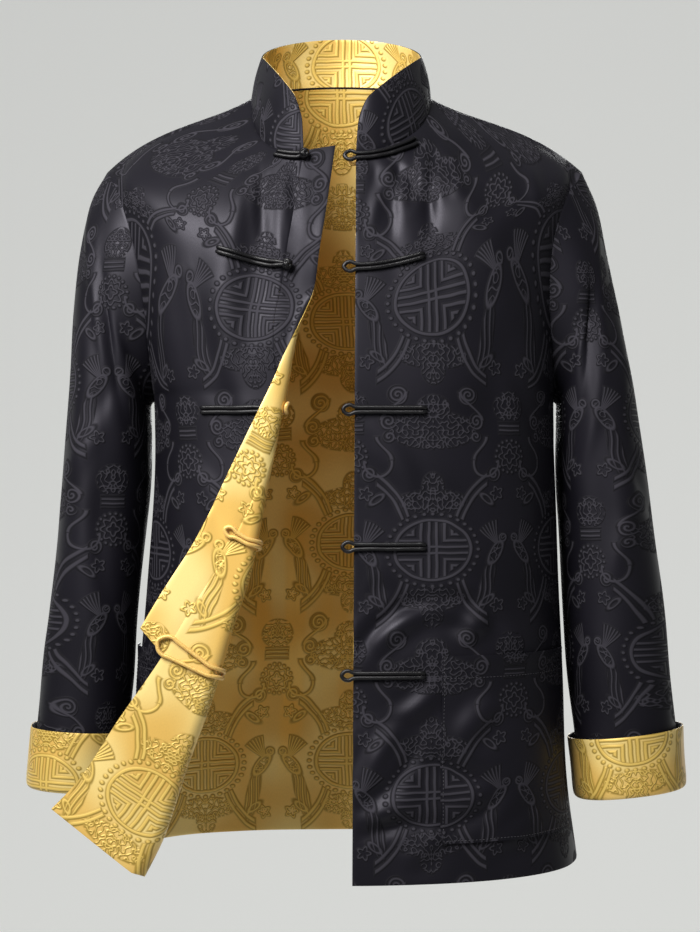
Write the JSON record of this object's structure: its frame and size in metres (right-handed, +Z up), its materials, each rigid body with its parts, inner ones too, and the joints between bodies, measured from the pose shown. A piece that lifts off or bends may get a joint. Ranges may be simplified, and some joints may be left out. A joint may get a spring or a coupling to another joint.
{
  "type": "tang jacket",
  "caption": "Long-sleeved tang jacket with a stand collar, turned-back cuffs and frog fastenings, hollow as worn, one front hanging open and turned back.",
  "frame": {"origin": "on the axis of the neck, level with the sides of the neck hole, where the wearer's neck and shoulders carry the jacket", "axes": "+Z up along the neck, +X to the wearer's left, -Y to the front"},
  "size_m": [0.6271, 0.3234, 0.799],
  "materials": {
    "black_brocade": "black satin jacquard with a woven tone-on-tone figure, soft sheen",
    "gold_brocade": "gold satin jacquard with a woven figure in olive brown, bright sheen",
    "black_cord": "cord of rolled black satin, hand sewn",
    "gold_cord": "cord of rolled gold satin, hand sewn"
  },
  "bodies": {
    "root": {"back": "black_brocade", "front_left": "black_brocade", "front_right": "black_brocade", "underlap": "black_brocade", "collar": "black_brocade", "sleeve_left": "black_brocade", "sleeve_right": "black_brocade", "cuff_left": "gold_brocade", "cuff_right": "gold_brocade", "pocket_left": "black_brocade", "pocket_right": "black_brocade", "loop_black_1": "black_cord", "loop_black_2": "black_cord", "loop_black_3": "black_cord", "loop_black_4": "black_cord", "loop_black_5": "black_cord", "knot_black_1": "black_cord", "knot_black_2": "black_cord", "knot_black_3": "black_cord", "knot_black_4": "black_cord", "knot_black_5": "black_cord", "loop_gold_1": "gold_cord", "loop_gold_2": "gold_cord", "loop_gold_3": "gold_cord", "loop_gold_4": "gold_cord", "loop_gold_5": "gold_cord", "knot_gold_1": "gold_cord", "knot_gold_2": "gold_cord", "knot_gold_3": "gold_cord", "knot_gold_4": "gold_cord", "knot_gold_5": "gold_cord"}
  },
  "joints": []
}
